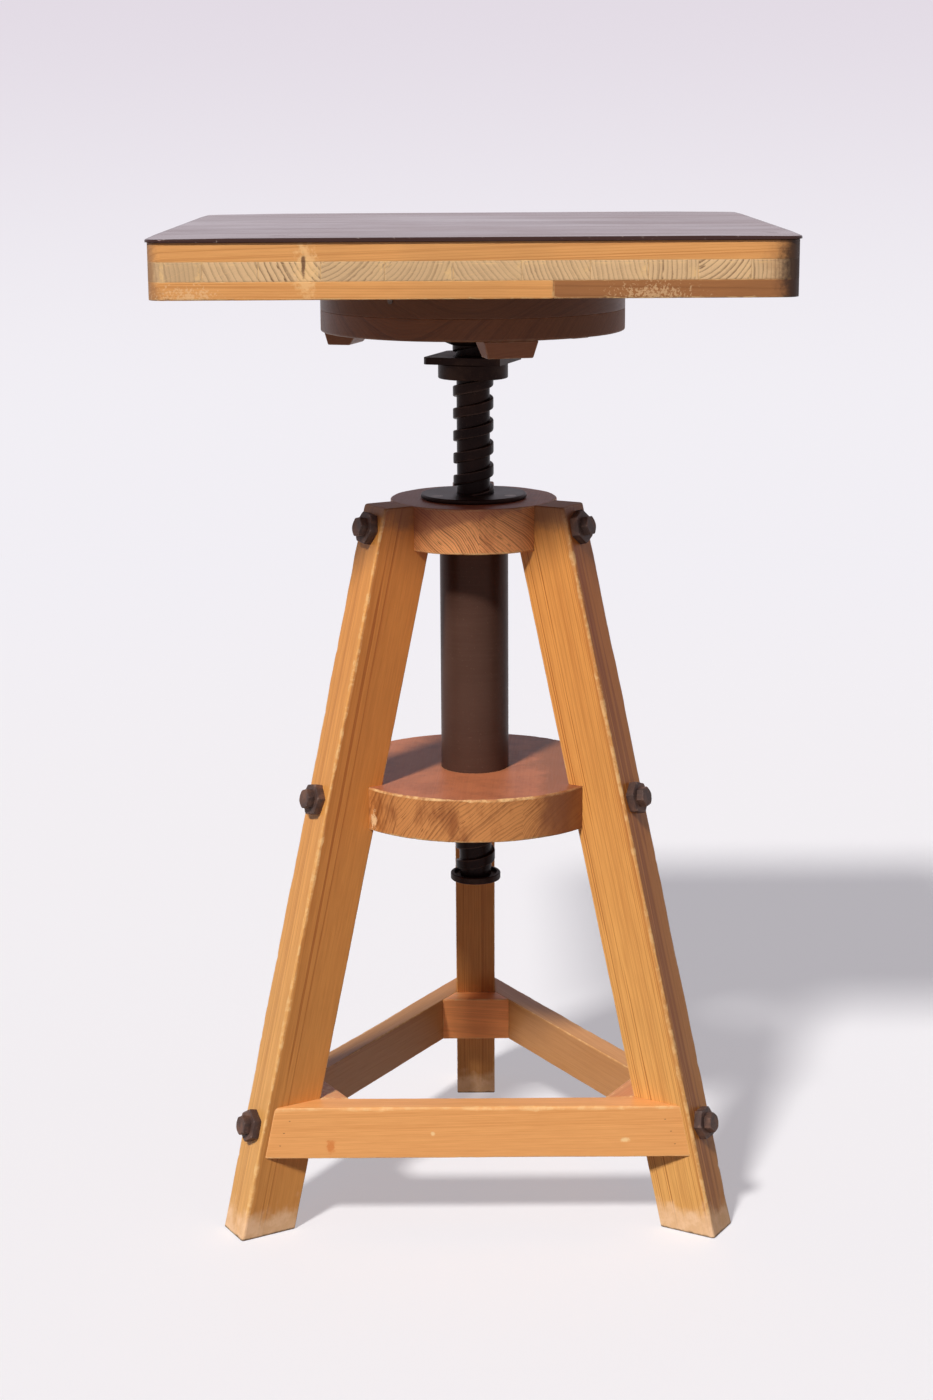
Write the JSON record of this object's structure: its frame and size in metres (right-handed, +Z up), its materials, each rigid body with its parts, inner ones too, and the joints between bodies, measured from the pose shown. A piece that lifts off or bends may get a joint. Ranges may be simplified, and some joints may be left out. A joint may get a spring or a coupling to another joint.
{
  "type": "adjustable swivel stool",
  "caption": "Swivel stool with a square wooden seat that turns and rises on a thick screw through a round hub, on raked legs joined by low rails, with a lock nut on the screw.",
  "frame": {"origin": "on the floor, on the axis of the screw", "axes": "+Z up along the screw, +Y towards the rear leg, the front rail faces -Y"},
  "size_m": [0.423, 0.423, 0.7364],
  "materials": {
    "leg_pine": "worn varnished pine",
    "rail_pine": "worn varnished pine",
    "hub_wood": "reddish-brown stain, chipped rims",
    "stained_disc": "dark stain",
    "wedge_wood": "dark stain",
    "board_plank": "varnished long grain",
    "core_end_grain": "varnished end grain",
    "seat_covering": "worn satin",
    "bronzed_tube": "satin brown lacquer, fine horizontal brushing",
    "blackened_iron": "oiled, nearly black",
    "rusty_steel": "brown rust, bare on the corners",
    "screw_steel": "dull, slightly rusty"
  },
  "bodies": {
    "stand": {"bolts_lower": "rusty_steel", "bolts_middle": "rusty_steel", "bolts_upper": "rusty_steel", "corner_block_left": "rail_pine", "corner_block_rear": "rail_pine", "corner_block_right": "rail_pine", "flanged_nut": "blackened_iron", "guide_tube": "bronzed_tube", "hex_washers_lower": "rusty_steel", "hex_washers_middle": "rusty_steel", "hex_washers_upper": "rusty_steel", "hub_disc": "hub_wood", "leg_left": "leg_pine", "leg_rear": "leg_pine", "leg_right": "leg_pine", "lower_disc": "hub_wood", "nut_screws": "screw_steel", "rail_front": "rail_pine", "rail_left": "rail_pine", "rail_nails": "screw_steel", "rail_right": "rail_pine"},
    "stop_slide": {"stop_collar": "blackened_iron"},
    "seat": {"bottom_plank_1_left": "board_plank", "bottom_plank_1_right": "board_plank", "bottom_plank_2": "board_plank", "bottom_plank_3": "board_plank", "bottom_plank_4": "board_plank", "core_strip_01": "core_end_grain", "core_strip_02": "core_end_grain", "core_strip_03": "core_end_grain", "core_strip_04": "core_end_grain", "core_strip_05": "core_end_grain", "core_strip_06": "core_end_grain", "core_strip_07": "core_end_grain", "core_strip_08": "core_end_grain", "core_strip_09": "core_end_grain", "core_strip_10": "core_end_grain", "core_strip_11": "core_end_grain", "disc_edge_nail": "screw_steel", "disc_lower_layer": "stained_disc", "disc_upper_layer": "stained_disc", "end_screw": "screw_steel", "flange_screws": "screw_steel", "seat_screws": "screw_steel", "spindle": "blackened_iron", "spindle_flange": "blackened_iron", "top_plank_1": "board_plank", "top_plank_2": "board_plank", "top_plank_3": "board_plank", "top_plank_4": "board_plank", "top_sheet": "seat_covering", "wedge_block_1": "wedge_wood", "wedge_block_2": "wedge_wood", "wedge_block_3": "wedge_wood"},
    "lock_slide": {"lock_collar": "blackened_iron"},
    "lock_plate": {"lock_nut": "blackened_iron"}
  },
  "joints": [
    {"name": "seat_rise", "type": "slide", "parent": "stand", "child": "stop_slide", "axis": [0, 0, 1], "range_m": [-0.0493, 0.2379]},
    {"name": "seat_turn", "type": "hinge", "parent": "stop_slide", "child": "seat", "pos_m": [0, 0, 0.25], "axis": [0, 0, 1], "range_deg": [-1080, 5220]},
    {"name": "lock_travel", "type": "slide", "parent": "seat", "child": "lock_slide", "axis": [0, 0, 1], "range_m": [-0.0329, 0.0042]},
    {"name": "lock_turn", "type": "hinge", "parent": "lock_slide", "child": "lock_plate", "pos_m": [0, 0, 0.63], "axis": [0, 0, 1], "range_deg": [-720, 90]}
  ],
  "couplings": [
    {"joint": "seat_rise", "follows": "seat_turn", "m_per_rad": 0.0026101},
    {"joint": "lock_travel", "follows": "lock_turn", "m_per_rad": 0.0026101}
  ]
}
